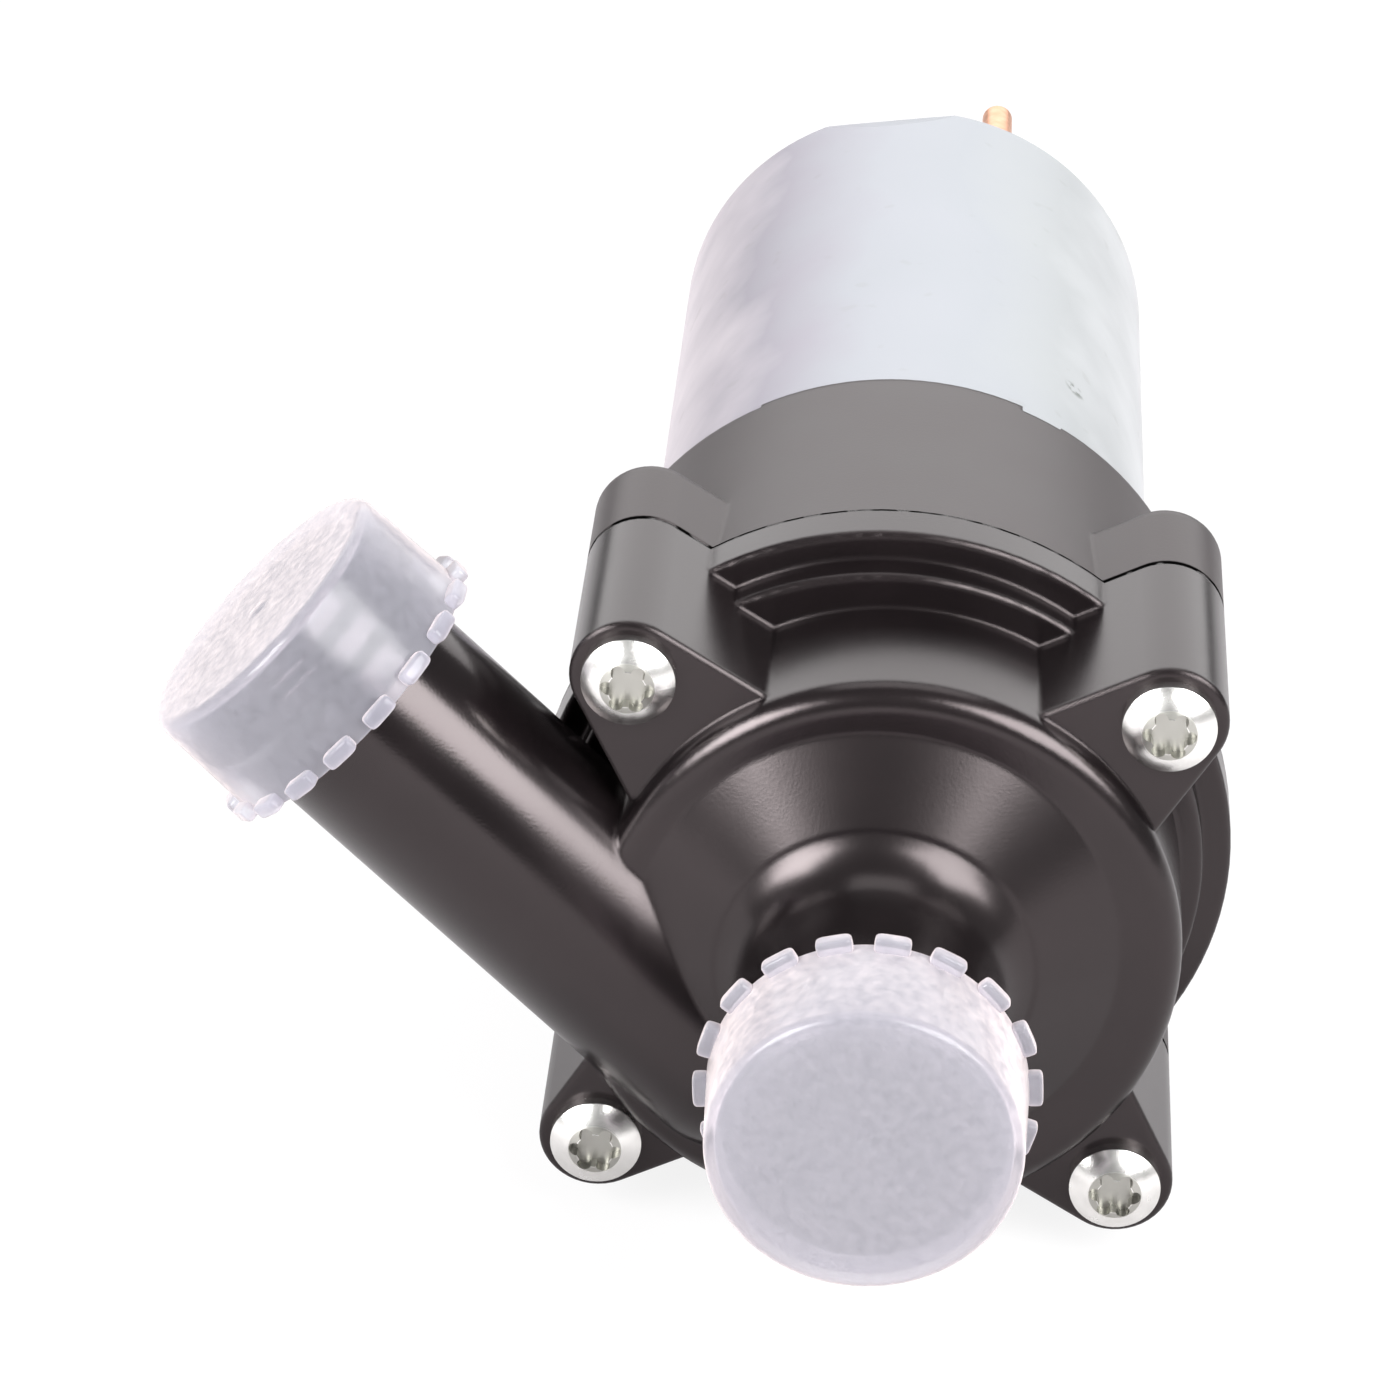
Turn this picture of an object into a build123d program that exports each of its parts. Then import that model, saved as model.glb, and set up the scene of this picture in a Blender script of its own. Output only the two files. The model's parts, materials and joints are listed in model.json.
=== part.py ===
"""Auxiliary electric water pump: a brushed motor turns a magnetic drive, and the drive
turns an impeller that is sealed in its own wet chamber. Lengths are in millimetres.
The pump axis is Y. The inlet points to -Y, X is to the right of it and +Z is up.
The origin is on the pump axis, in the plane where the four casing screws seat."""
import os
from math import asin, atan2, cos, degrees, pi, radians, sin

from build123d import *

# Casing
screw_spacing = 45.0
boss_radius = 5.0
ear_foot_radius = 24.0
ear_foot_half_angle = 19.0
flange_radius = 30.3
flange_thickness = 4.6
parting_y = 20.2
step_radius = 27.8
step_front_y = 12.6
edge_fillet = 0.4
overlap = 1.0
crest_y = -2.5
crest_fillet = 2.0
scroll_start_radius = 23.9
scroll_end_radius = 27.6
scroll_start_angle = 150.0
casing_wall = 2.3
front_wall = 3.4
cone_outer_radius = 20.6
cone_step_radius = 13.4
cone_step_y = -6.3
cone_step_height = 0.3
scroll_point_count = 30

# Ports and their transport caps
port_outer_radius = 10.1
port_bore_radius = 7.6
inlet_end_y = -33.9
outlet_angle = 138.9
outlet_axis_y = 3.9
outlet_end_length = 55.2
outlet_seat_length = 31.0
outlet_throat_radius = 5.8
bead_radius = 11.5
bead_length = 3.0
bead_setback = 2.0
cap_radius = 12.8
cap_mouth_radius = 13.0
cap_wall = 0.9
cap_face_thickness = 1.1
cap_seat_gap = 0.05
cap_length = 10.9
cap_corner = 0.7
cap_lug_count = 18
cap_lug_turn = 3.0
cap_lug_length = 1.8
cap_lug_radius = 14.1
cap_lug_share = 0.68
cap_lug_fillet = 0.45

# Wet chamber behind the casing
chamber_depth = 12.2
recess_radius = 27.3
recess_floor_wall = 1.4
shell_flange_thickness = 2.4
shell_plug_radius = 21.4
shell_plug_clearance = 0.1
shell_flange_clearance = 0.1
shell_corner = 1.0
shell_cup_radius = 14.2
shell_wall = 1.2
shell_cup_end_y = 34.0
seal_section_radius = 0.8
seal_squeeze = 0.01
axle_radius = 2.0
axle_front_gap = 0.4
axle_clip_setback = 0.6
impeller_end_play = 0.15
axle_boss_radius = 4.0
axle_boss_length = 3.6
axle_washer_radius = 4.2
axle_washer_thickness = 0.6
axle_clip_thickness = 0.6
axle_clip_groove = 0.5
axle_clip_width = 1.5
axle_clip_mouth = 2.2
axle_chamfer = 0.3
axle_boss_flare = 0.6

# Impeller
impeller_radius = 20.5
impeller_disc_thickness = 1.8
impeller_front_gap = 1.0
impeller_rear_gap = 1.0
vane_count = 6
vane_thickness = 1.5
vane_sweep = 62.0
vane_point_count = 6
vane_hub_gap = 2.6
hub_radius = 4.6
hub_flare = 1.6
sleeve_collar = 2.0
bush_radius = 3.4
running_gap = 0.04
magnet_gap = 0.7
inner_magnet_thickness = 4.0
inner_magnet_setback = 1.5

# Magnetic drive cup on the motor shaft
outer_magnet_thickness = 3.2
drive_cup_wall = 1.6
drive_hub_radius = 5.2
drive_cup_floor = 2.0
drive_collar_length = 1.2
drive_front_gap = 1.2

# Motor adapter
skirt_front_radius = 29.8
skirt_rear_radius = 28.1
skirt_end_y = 51.5
skirt_raised_height = 0.5
skirt_raised_start_angle = 70.0
skirt_raised_end_angle = 120.0
skirt_slot_angle = 66.0
skirt_slot_width = 4.0
skirt_slot_depth = 0.5
skirt_wall = 1.5
adapter_boss_length = 12.0
adapter_boss_fillet = 2.2
adapter_bore_radius = 24.6
spigot_radius = 27.2
spigot_wall = 2.6
adapter_web_y = 39.2
adapter_web_thickness = 3.0
web_hole_radius = 9.2

# Casing screws
screw_radius = 2.0
screw_hole_radius = 2.25
screw_length = 28.0
screw_head_radius = 3.95
screw_head_height = 2.6
screw_head_rim = 1.0
recess_depth = 1.5
lobe_count = 6
lobe_circle_radius = 1.65
lobe_radius = 0.6
lobe_core_radius = 1.6

# Motor
can_radius = 23.6
can_register_step = 0.8
can_register_gap = 0.4
can_wall = 1.6
can_end_y = 129.6
can_corner = 1.0
can_inner_corner = 1.2
can_seat_gap = 0.15
crimp_angle = 100.5
crimp_depth = 1.3
crimp_length = 4.6
rear_boss_length = 4.0
rear_boss_corner = 0.8
front_plate_thickness = 2.0
bearing_radius = 6.5
bearing_length = 6.0
bearing_seat_wall = 1.4
front_boss_radius = 8.9
front_boss_length = 2.6
shaft_radius = 2.5
field_magnet_thickness = 4.2
field_magnet_angle = 138.0
field_magnet_length = 46.0
field_magnet_front_y = 51.0
magnet_clip_thickness = 0.8
magnet_clip_setback = 3.0
magnet_clip_share = 0.98
air_gap = 0.6
armature_length = 40.0
armature_front_y = 54.0
tooth_count = 10
slot_opening = 2.2
tooth_width = 3.4
tooth_tip_thickness = 2.0
core_hub_radius = 6.6
winding_overhang = 5.0
winding_corner = 2.0
winding_gap = 0.3
commutator_radius = 9.0
commutator_length = 11.0
commutator_front_y = 101.0
segment_gap = 0.7
segment_depth = 1.5
riser_height = 1.2
riser_length = 1.6
brush_width = 5.0
brush_height = 7.0
brush_length = 7.0
brush_box_clearance = 0.1
brush_offset = 2.0
brush_box_end_gap = 1.6
brush_contact_gap = 0.08
brush_plate_thickness = 2.4
brush_plate_y = 113.0
brush_box_wall = 0.9
brush_box_setback = 2.2
brush_hollow = 0.4
brush_plate_gap = 1.0
brush_plate_notch = (3.0, 7.0)
brush_plate_notch_inset = 3.0
spring_wire_radius = 0.35
spring_coils = 4
mount_screw_spacing = 29.0
mount_screw_radius = 1.5
mount_screw_head_radius = 2.9
mount_screw_head_height = 1.9
mount_screw_slot = (4.4, 0.8)
mount_screw_slot_depth = 0.8
mount_hole_clearance = 0.2
vent_radius = 2.4
terminal_angle = 69.5
terminal_inset = 3.6
terminal_radius = 1.55
terminal_length = 11.4
terminal_tip_fillet = 0.7
grommet_radius = 2.0
grommet_flange_radius = 2.3
grommet_flange_thickness = 0.5
shaft_washer_radius = 4.4
shaft_washer_thickness = 0.8
shaft_end_gap = 0.6
shaft_lead = 0.3
shaft_end_play = 0.1

# Sizes that follow from the ones above
half_spacing = screw_spacing / 2
flange_front_y = parting_y - flange_thickness
chamber_front_y = crest_y + front_wall
chamber_rear_y = chamber_front_y + chamber_depth
recess_y = flange_front_y + recess_floor_wall
shell_rear_y = recess_y + shell_flange_thickness
shell_outer_radius = shell_cup_radius + shell_wall
seal_y = recess_y + shell_flange_thickness / 2
scroll_end_angle = outlet_angle + 90.0 - 360.0
outlet_offset = scroll_end_radius - port_outer_radius
drive_magnet_inner = shell_outer_radius + magnet_gap
drive_magnet_outer = drive_magnet_inner + outer_magnet_thickness
can_front_y = adapter_web_y + adapter_web_thickness
can_inner_radius = can_radius - can_wall
can_register_radius = can_radius - can_register_step
can_register_end_y = skirt_end_y + skirt_raised_height + can_register_gap
socket_radius = can_register_radius + can_seat_gap
terminal_circle_radius = can_radius - terminal_inset
magnet_inner_radius = can_inner_radius - field_magnet_thickness
armature_radius = magnet_inner_radius - air_gap
impeller_front_y = chamber_front_y + impeller_front_gap
impeller_back_y = chamber_rear_y - impeller_rear_gap
inner_magnet_front_y = chamber_rear_y + inner_magnet_setback
drive_front_y = shell_rear_y + drive_front_gap
cup_floor_y = shell_cup_end_y - shell_wall
axle_front_y = chamber_front_y + axle_front_gap
clip_start_y = axle_front_y + axle_clip_setback
clip_end_y = clip_start_y + axle_clip_thickness
bush_front_y = clip_end_y + axle_washer_thickness + impeller_end_play
rear_washer_y = cup_floor_y - axle_boss_length - axle_washer_thickness
bush_rear_y = rear_washer_y - impeller_end_play
drive_floor_y = shell_cup_end_y + running_gap + magnet_gap
shaft_front_y = drive_floor_y + shaft_lead
rear_boss_radius = bearing_radius + can_wall
rear_bearing_y = can_end_y + rear_boss_length - can_wall - bearing_length
front_bearing_y = can_front_y - front_boss_length
shaft_rear_y = can_end_y + rear_boss_length - can_wall - shaft_end_gap
brush_y = commutator_front_y + brush_offset
brush_inner_radius = commutator_radius + brush_contact_gap
spring_outer_radius = can_inner_radius - brush_box_end_gap
outlet_direction = Vector(cos(radians(outlet_angle)), 0, sin(radians(outlet_angle)))
outlet_side = Vector(cos(radians(scroll_end_angle)), 0, sin(radians(scroll_end_angle)))
outlet_foot = outlet_side * outlet_offset + Vector(0, outlet_axis_y, 0)
cone_slope = atan2(crest_y - cone_step_y, cone_outer_radius - cone_step_radius - cone_step_height)
neck_blend_radius = (cone_step_radius - port_outer_radius) / (1 - sin(cone_slope))
neck_y = cone_step_y - neck_blend_radius * cos(cone_slope)


def turned(*points):
    """A solid of revolution about the pump axis, from (radius, y) corners."""
    return revolve(make_face(Polyline(*points, close=True)), Axis.Y)


def ring(inner, outer, start_y, end_y):
    """A plain ring or disc about the pump axis."""
    return turned((inner, start_y), (outer, start_y), (outer, end_y), (inner, end_y))


def along_y(sketch, start_y, end_y):
    """Extrudes a sketch drawn in X and Z from one Y to another."""
    plane = Plane(origin=(0, end_y, 0), x_dir=(1, 0, 0), z_dir=(0, -1, 0))
    return extrude(plane * sketch, amount=end_y - start_y)


def polar(radius, angle):
    """A point in the X and Z plane, with the angle in degrees from +X towards +Z."""
    return (radius * cos(radians(angle)), radius * sin(radians(angle)))


def corners():
    """The X and Z places of the four casing screws."""
    return [(sx * half_spacing, sz * half_spacing) for sx in (-1, 1) for sz in (-1, 1)]


def wide_sector(start_angle, end_angle):
    """A pie slice between two angles that reaches well past the pump's outside."""
    reach = 2 * flange_radius
    share = [start_angle + (end_angle - start_angle) * i / 4 for i in range(5)]
    return make_face(Polyline((0, 0), *[polar(reach, angle) for angle in share], close=True))


def save(node, shape):
    """Writes one node's file."""
    export_step(shape, f"parts/{node}.step")


def solids_of(shapes):
    """Groups separate solids in one compound."""
    return Compound(children=[solid for shape in shapes for solid in shape.solids()])


def scroll_radius(angle, inset=0.0):
    """The scroll grows evenly with the turn from its tongue to the outlet's tangent point,
    then swings back to its start with a smooth step, hidden in the root of the outlet."""
    turn = scroll_start_angle - angle
    sweep = scroll_start_angle - scroll_end_angle
    if turn <= sweep:
        share = turn / sweep
    else:
        back = (turn - sweep) / (360.0 - sweep)
        share = 0.5 + 0.5 * cos(pi * back)
    return scroll_start_radius + (scroll_end_radius - scroll_start_radius) * share - inset


def scroll_outline(inset=0.0):
    """A closed smooth curve through the scroll's radius at even angles."""
    pitch = 360.0 / scroll_point_count
    angles = [scroll_start_angle - pitch * i for i in range(scroll_point_count)]
    points = [polar(scroll_radius(a, inset), a) for a in angles]
    return make_face(Spline(*points, periodic=True))


def ear_outline(x, z):
    """A screw boss with its two tangent webs, which run back to the scroll's wall."""
    centre_angle = degrees(atan2(z, x))
    feet = [polar(ear_foot_radius, centre_angle + side * ear_foot_half_angle) for side in (-1, 1)]
    boss = Pos(x, z) * Circle(boss_radius)
    return make_hull(boss.edges() + [Edge.make_line(*feet)])


def outlet_plane(distance):
    """A plane square to the outlet, at a distance from its foot, facing its mouth."""
    origin = outlet_foot + outlet_direction * distance
    return Plane(origin=origin, x_dir=(0, 1, 0), z_dir=outlet_direction)


def spigot(length):
    """A hose spigot that stands on its foot: a tube's outside with a rounded bead near its mouth."""
    slope = bead_radius - port_outer_radius
    top = length - bead_setback
    profile = Polyline(
        (0, 0),
        (port_outer_radius, 0),
        (port_outer_radius, top - bead_length - slope),
        (bead_radius, top - bead_length),
        (bead_radius, top - bead_length / 3),
        (port_outer_radius, top),
        (port_outer_radius, length),
        (0, length),
        close=True,
    )
    return upright(profile)


def upright(profile):
    """A solid of revolution about +Z, from a closed outline drawn as (radius, height)."""
    return revolve(Plane.XZ * make_face(profile), Axis.Z)


def front_rounded(shape, radius):
    """Rounds the edges of a shape's front face, the one nearest the inlet."""
    return fillet(shape.edges().group_by(Axis.Y)[0], radius)


def inlet_cone():
    """The casing's front: a shallow cone up to a small step, then a hollow curve to the spigot."""
    blend_x = port_outer_radius + neck_blend_radius
    middle = (cone_slope + pi / 2) / 2
    hollow = ThreePointArc(
        (cone_step_radius, cone_step_y),
        (blend_x - neck_blend_radius * sin(middle), neck_y + neck_blend_radius * cos(middle)),
        (port_outer_radius, neck_y),
    )
    rest = Polyline(
        (port_outer_radius, neck_y),
        (0, neck_y),
        (0, crest_y + overlap),
        (cone_outer_radius, crest_y + overlap),
        (cone_outer_radius, crest_y),
        (cone_step_radius + cone_step_height, cone_step_y),
        (cone_step_radius, cone_step_y),
    )
    return revolve(make_face(rest.edges() + [hollow]), Axis.Y)


def outlet_passage():
    """The way out of the scroll: a tapered diffuser, then the spigot's straight bore."""
    diffuser_length = outlet_end_length - outlet_seat_length
    profile = Polyline(
        (0, 0),
        (outlet_throat_radius, 0),
        (port_bore_radius, diffuser_length),
        (port_bore_radius, outlet_end_length),
        (0, outlet_end_length),
        close=True,
    )
    return outlet_plane(0) * upright(profile) + Pos(*outlet_foot) * Sphere(outlet_throat_radius)


def volute_casing():
    """The moulded front casing: scroll, cone, inlet and outlet spigots, ears, step and flange."""
    scroll = along_y(scroll_outline(), crest_y, flange_front_y + overlap)
    scroll = front_rounded(scroll, crest_fillet)
    inlet = Plane(origin=(0, crest_y, 0), z_dir=(0, -1, 0)) * spigot(crest_y - inlet_end_y)
    outlet = outlet_plane(0) * spigot(outlet_end_length)
    outlet_root = Pos(*outlet_foot) * Sphere(port_outer_radius)
    step = front_rounded(ring(0, step_radius, step_front_y, flange_front_y + overlap), edge_fillet)
    flange = front_rounded(ring(0, flange_radius, flange_front_y, parting_y), edge_fillet)
    body = scroll + inlet_cone() + inlet + outlet + outlet_root + step + flange
    for x, z in corners():
        body = body + front_rounded(along_y(ear_outline(x, z), 0, parting_y), edge_fillet)
    chamber = along_y(scroll_outline(casing_wall), chamber_front_y, chamber_rear_y)
    throat = ring(0, shell_plug_radius + shell_plug_clearance, chamber_rear_y, recess_y)
    recess = ring(0, recess_radius, recess_y, parting_y)
    inlet_bore = ring(0, port_bore_radius, inlet_end_y, chamber_front_y)
    body = body - chamber - throat - recess - inlet_bore
    body = body - outlet_passage()
    hole = extrude(Circle(screw_hole_radius), amount=parting_y)
    for x, z in corners():
        body = body - Plane(origin=(x, 0, z), z_dir=(0, 1, 0)) * hole
    return body


def casing_screws():
    """Pan-head screws with a domed top and a six-lobe recess, one through each ear."""
    rise = screw_head_height - screw_head_rim
    dome_radius = (screw_head_radius ** 2 + rise ** 2) / (2 * rise)
    middle = asin(screw_head_radius / dome_radius) / 2
    dome = ThreePointArc(
        (screw_head_radius, screw_head_rim),
        (dome_radius * sin(middle), screw_head_height - dome_radius * (1 - cos(middle))),
        (0, screw_head_height),
    )
    side = Polyline(
        (0, screw_head_height),
        (0, 0),
        (screw_head_radius, 0),
        (screw_head_radius, screw_head_rim),
    )
    screw = upright(side.edges() + [dome])
    screw = screw + Pos(0, 0, -screw_length) * extrude(Circle(screw_radius), amount=screw_length)
    lobes = Circle(lobe_core_radius)
    for i in range(lobe_count):
        lobes = lobes + Pos(*polar(lobe_circle_radius, 360 * i / lobe_count)) * Circle(lobe_radius)
    floor = screw_head_height - recess_depth
    screw = screw - Pos(0, 0, floor) * extrude(lobes, amount=recess_depth)
    places = [Plane(origin=(x, 0, z), x_dir=(1, 0, 0), z_dir=(0, -1, 0)) for x, z in corners()]
    return solids_of([place * screw for place in places])


def cap_lugs():
    """The ring of small rounded lugs that stands on the outside of a cap's mouth."""
    pitch = 360.0 / cap_lug_count
    slot_width = 2 * pi * cap_lug_radius / cap_lug_count * (1 - cap_lug_share)
    slot = Pos(cap_mouth_radius + cap_wall, 0) * Rectangle(2 * cap_wall, slot_width)
    outline = Circle(cap_lug_radius)
    for i in range(cap_lug_count):
        outline = outline - Rot(0, 0, (i + 0.5) * pitch) * slot
    rim = outline.vertices().sort_by_distance((0, 0, 0))[-2 * cap_lug_count:]
    outline = fillet(rim, cap_lug_fillet) - Circle(cap_mouth_radius - cap_wall / 2)
    place = Pos(0, 0, cap_length - cap_lug_length) * Rot(0, 0, cap_lug_turn)
    return place * extrude(outline, amount=cap_lug_length)


def port_cap(plane):
    """A push-on transport cap: a closed face, a thin skirt that widens a little, and lugs."""
    cup = Polyline(
        (0, 0),
        (cap_radius - cap_corner, 0),
        (cap_radius, cap_corner),
        (cap_mouth_radius, cap_length),
        (cap_mouth_radius - cap_wall, cap_length),
        (cap_radius - cap_wall, cap_face_thickness),
        (0, cap_face_thickness),
        close=True,
    )
    return plane * (upright(cup) + cap_lugs())


def containment_shell():
    """The cup that keeps the water in: a plug, a flange with a seal groove, a thin cup and an
    axle socket."""
    flange_outer = recess_radius - shell_flange_clearance
    groove_floor = recess_radius - 2 * seal_section_radius
    socket_y = cup_floor_y - axle_boss_length
    return turned(
        (shell_cup_radius, chamber_rear_y),
        (shell_plug_radius, chamber_rear_y),
        (shell_plug_radius, recess_y),
        (flange_outer, recess_y),
        (flange_outer, seal_y - seal_section_radius),
        (groove_floor, seal_y - seal_section_radius),
        (groove_floor, seal_y + seal_section_radius),
        (flange_outer, seal_y + seal_section_radius),
        (flange_outer, shell_rear_y),
        (shell_outer_radius + shell_corner, shell_rear_y),
        (shell_outer_radius, shell_rear_y + shell_corner),
        (shell_outer_radius, shell_cup_end_y),
        (0, shell_cup_end_y),
        (0, cup_floor_y),
        (axle_radius, cup_floor_y),
        (axle_radius, socket_y),
        (axle_boss_radius, socket_y),
        (axle_boss_radius + axle_boss_flare, cup_floor_y),
        (shell_cup_radius, cup_floor_y),
    )


def casing_seal():
    """The O-ring in the shell's groove."""
    section = Circle(seal_section_radius - seal_squeeze)
    return revolve(Pos(recess_radius - seal_section_radius, seal_y) * section, Axis.Y)


def vane_outline(angle):
    """One backward-swept vane: an arc-like blade from the hub to the rim, thick by a set amount.
    Its angle falls behind in proportion to the radius."""
    start = hub_radius + vane_hub_gap
    end = impeller_radius - vane_thickness / 2
    middle_line = []
    for i in range(vane_point_count):
        share = i / (vane_point_count - 1)
        middle_line.append(polar(start + (end - start) * share, angle + vane_sweep * share))
    blade = Spline(*middle_line)
    return trace(blade, line_width=vane_thickness)


def impeller():
    """A semi-open impeller: back disc with swept vanes, a hub, and the sleeve that holds the magnet."""
    disc_front = impeller_back_y - impeller_disc_thickness
    vane_end_y = disc_front + vane_thickness / 4
    sleeve_outer = shell_cup_radius - magnet_gap - inner_magnet_thickness
    body = turned(
        (bush_radius, bush_front_y),
        (hub_radius, bush_front_y),
        (hub_radius + hub_flare, disc_front),
        (impeller_radius, disc_front),
        (impeller_radius, impeller_back_y),
        (sleeve_outer + sleeve_collar, impeller_back_y),
        (sleeve_outer + sleeve_collar, inner_magnet_front_y),
        (sleeve_outer, inner_magnet_front_y),
        (sleeve_outer, bush_rear_y),
        (bush_radius, bush_rear_y),
    )
    for i in range(vane_count):
        vane = vane_outline(360.0 * i / vane_count)
        body = body + along_y(vane, impeller_front_y, vane_end_y)
    return body


def impeller_magnet():
    """The ring magnet that the drive pulls round."""
    outer = shell_cup_radius - magnet_gap
    inner = outer - inner_magnet_thickness
    return ring(inner, outer, inner_magnet_front_y, bush_rear_y)


def impeller_bush():
    """The carbon bush that runs on the fixed axle."""
    return ring(axle_radius + running_gap, bush_radius, bush_front_y, bush_rear_y)


def drive_hub():
    """The cup on the motor shaft that carries the outer magnet ring."""
    outer = drive_magnet_outer + drive_cup_wall
    back = drive_floor_y + drive_cup_floor
    return turned(
        (shaft_radius, drive_floor_y),
        (drive_magnet_outer, drive_floor_y),
        (drive_magnet_outer, drive_front_y),
        (outer, drive_front_y),
        (outer, back),
        (drive_hub_radius, back),
        (drive_hub_radius, back + drive_collar_length),
        (shaft_radius, back + drive_collar_length),
    )


def drive_magnet():
    """The ring magnet inside the drive cup."""
    return ring(drive_magnet_inner, drive_magnet_outer, drive_front_y, drive_floor_y)


def motor_adapter():
    """The moulded skirt between casing and motor: locating spigot, bosses, web and motor socket."""
    body = turned(
        (spigot_radius - spigot_wall, shell_rear_y),
        (spigot_radius, shell_rear_y),
        (spigot_radius, parting_y),
        (skirt_front_radius, parting_y),
        (skirt_rear_radius, skirt_end_y),
        (socket_radius, skirt_end_y),
        (socket_radius, can_front_y),
        (web_hole_radius, can_front_y),
        (web_hole_radius, adapter_web_y),
        (adapter_bore_radius, adapter_web_y),
        (adapter_bore_radius, shell_rear_y),
    )
    core = ring(0, skirt_rear_radius - skirt_wall, parting_y - overlap, skirt_end_y + overlap)
    boss_end_y = parting_y + adapter_boss_length
    for x, z in corners():
        boss = along_y(ear_outline(x, z), parting_y, boss_end_y)
        boss = fillet(boss.edges().group_by(Axis.Y)[-1], adapter_boss_fillet)
        body = body + (boss - core)
        pilot = along_y(Pos(x, z) * Circle(screw_radius), parting_y, screw_length)
        body = body - pilot
    raised_end_y = skirt_end_y + skirt_raised_height
    raised = ring(socket_radius, skirt_rear_radius, skirt_end_y, raised_end_y)
    sector = wide_sector(skirt_raised_start_angle, skirt_raised_end_angle)
    body = body + (raised & along_y(sector, skirt_end_y, raised_end_y))
    slot_place = Pos(*polar((socket_radius + skirt_rear_radius) / 2, skirt_slot_angle))
    slot = Rectangle(skirt_slot_width, 2 * skirt_slot_width)
    slot = slot_place * Rot(0, 0, skirt_slot_angle - 90) * slot
    body = body - along_y(slot, skirt_end_y - skirt_slot_depth, raised_end_y)
    for side in (-1, 1):
        place = Pos(side * mount_screw_spacing / 2, 0)
        hole = place * Circle(mount_screw_radius + mount_hole_clearance)
        body = body - along_y(hole, adapter_web_y, can_front_y)
    return body


def motor_front_plate():
    """The motor's end plate, pressed into the mouth of the can, with its bearing boss."""
    back = can_front_y + front_plate_thickness
    bearing_end = front_bearing_y + bearing_length
    body = turned(
        (bearing_radius, front_bearing_y),
        (front_boss_radius, front_bearing_y),
        (front_boss_radius, can_front_y),
        (can_inner_radius, can_front_y),
        (can_inner_radius, back),
        (bearing_radius + bearing_seat_wall, back),
        (bearing_radius + bearing_seat_wall, bearing_end),
        (bearing_radius, bearing_end),
    )
    for side in (-1, 1):
        hole = Pos(side * mount_screw_spacing / 2, 0) * Circle(mount_screw_radius)
        body = body - along_y(hole, can_front_y, back)
        vent = Pos(0, side * mount_screw_spacing / 2) * Circle(vent_radius)
        body = body - along_y(vent, can_front_y, back)
    return body


def mount_screws():
    """The two screws that hold the motor to the adapter's web."""
    shapes = []
    head_y = adapter_web_y - mount_screw_head_height
    plate_back_y = can_front_y + front_plate_thickness
    for side in (-1, 1):
        place = Pos(side * mount_screw_spacing / 2, 0)
        head = along_y(place * Circle(mount_screw_head_radius), head_y, adapter_web_y)
        slot = along_y(place * Rectangle(*mount_screw_slot), head_y, head_y + mount_screw_slot_depth)
        shank = along_y(place * Circle(mount_screw_radius), adapter_web_y, plate_back_y)
        shapes.append(head - slot + shank)
    return solids_of(shapes)


def plain_bearing(start_y):
    """An oiled bronze bush for the motor shaft."""
    return ring(shaft_radius + running_gap, bearing_radius, start_y, start_y + bearing_length)


def crimp_cut():
    """The wedge that leaves a small sloping flat on the can's rear rim."""
    outer = can_radius + overlap
    radial = Vector(cos(radians(crimp_angle)), 0, sin(radians(crimp_angle)))
    plane = Plane(origin=(0, 0, 0), x_dir=radial, z_dir=radial.cross(Vector(0, 1, 0)))
    wedge = Polyline(
        (can_radius, can_end_y - crimp_length),
        (outer, can_end_y - crimp_length),
        (outer, can_end_y),
        (can_radius - crimp_depth, can_end_y),
        close=True,
    )
    return plane * extrude(make_face(wedge), amount=can_radius / 2, both=True)


def motor_can():
    """The drawn steel can: open at the front, closed at the back, with a bearing boss.
    Its mouth is stepped in where it seats in the adapter."""
    boss_end = can_end_y + rear_boss_length
    inner_boss = rear_boss_radius - can_wall
    corner_share = 1 - cos(radians(45))
    shape = turned(
        (can_inner_radius, can_front_y),
        (can_register_radius, can_front_y),
        (can_register_radius, can_register_end_y),
        (can_radius, can_register_end_y),
        (can_radius, can_end_y - can_corner),
        (can_radius - can_corner * corner_share, can_end_y - can_corner * corner_share),
        (can_radius - can_corner, can_end_y),
        (rear_boss_radius, can_end_y),
        (rear_boss_radius, boss_end - rear_boss_corner),
        (rear_boss_radius - rear_boss_corner, boss_end),
        (0, boss_end),
        (0, boss_end - can_wall),
        (inner_boss, boss_end - can_wall),
        (inner_boss, can_end_y - can_wall),
        (can_inner_radius - can_inner_corner, can_end_y - can_wall),
        (can_inner_radius, can_end_y - can_wall - can_inner_corner),
    )
    for x, z in terminal_places():
        hole = Pos(x, z) * Circle(grommet_radius)
        shape = shape - along_y(hole, can_end_y - can_wall - can_inner_corner, can_end_y)
    return shape - crimp_cut()


def terminal_places():
    """X and Z of the two terminals, opposite each other near the can's rim."""
    return [polar(terminal_circle_radius, terminal_angle + turn) for turn in (0, 180)]


def field_magnets():
    """Two curved ceramic magnets against the can's wall."""
    shapes = []
    end_y = field_magnet_front_y + field_magnet_length
    tube = ring(magnet_inner_radius, can_inner_radius, field_magnet_front_y, end_y)
    half = field_magnet_angle / 2
    for side in (0, 180):
        sector = wide_sector(side - half, side + half)
        shapes.append(tube & along_y(sector, field_magnet_front_y, end_y))
    return solids_of(shapes)


def magnet_clips():
    """Spring clips that spread between the two magnets."""
    shapes = []
    start = field_magnet_front_y + magnet_clip_setback
    end = field_magnet_front_y + field_magnet_length - magnet_clip_setback
    half = (180 - field_magnet_angle) / 2 * magnet_clip_share
    tube = ring(can_inner_radius - magnet_clip_thickness, can_inner_radius, start, end)
    for side in (90, 270):
        shapes.append(tube & along_y(wide_sector(side - half, side + half), start, end))
    return solids_of(shapes)


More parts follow.
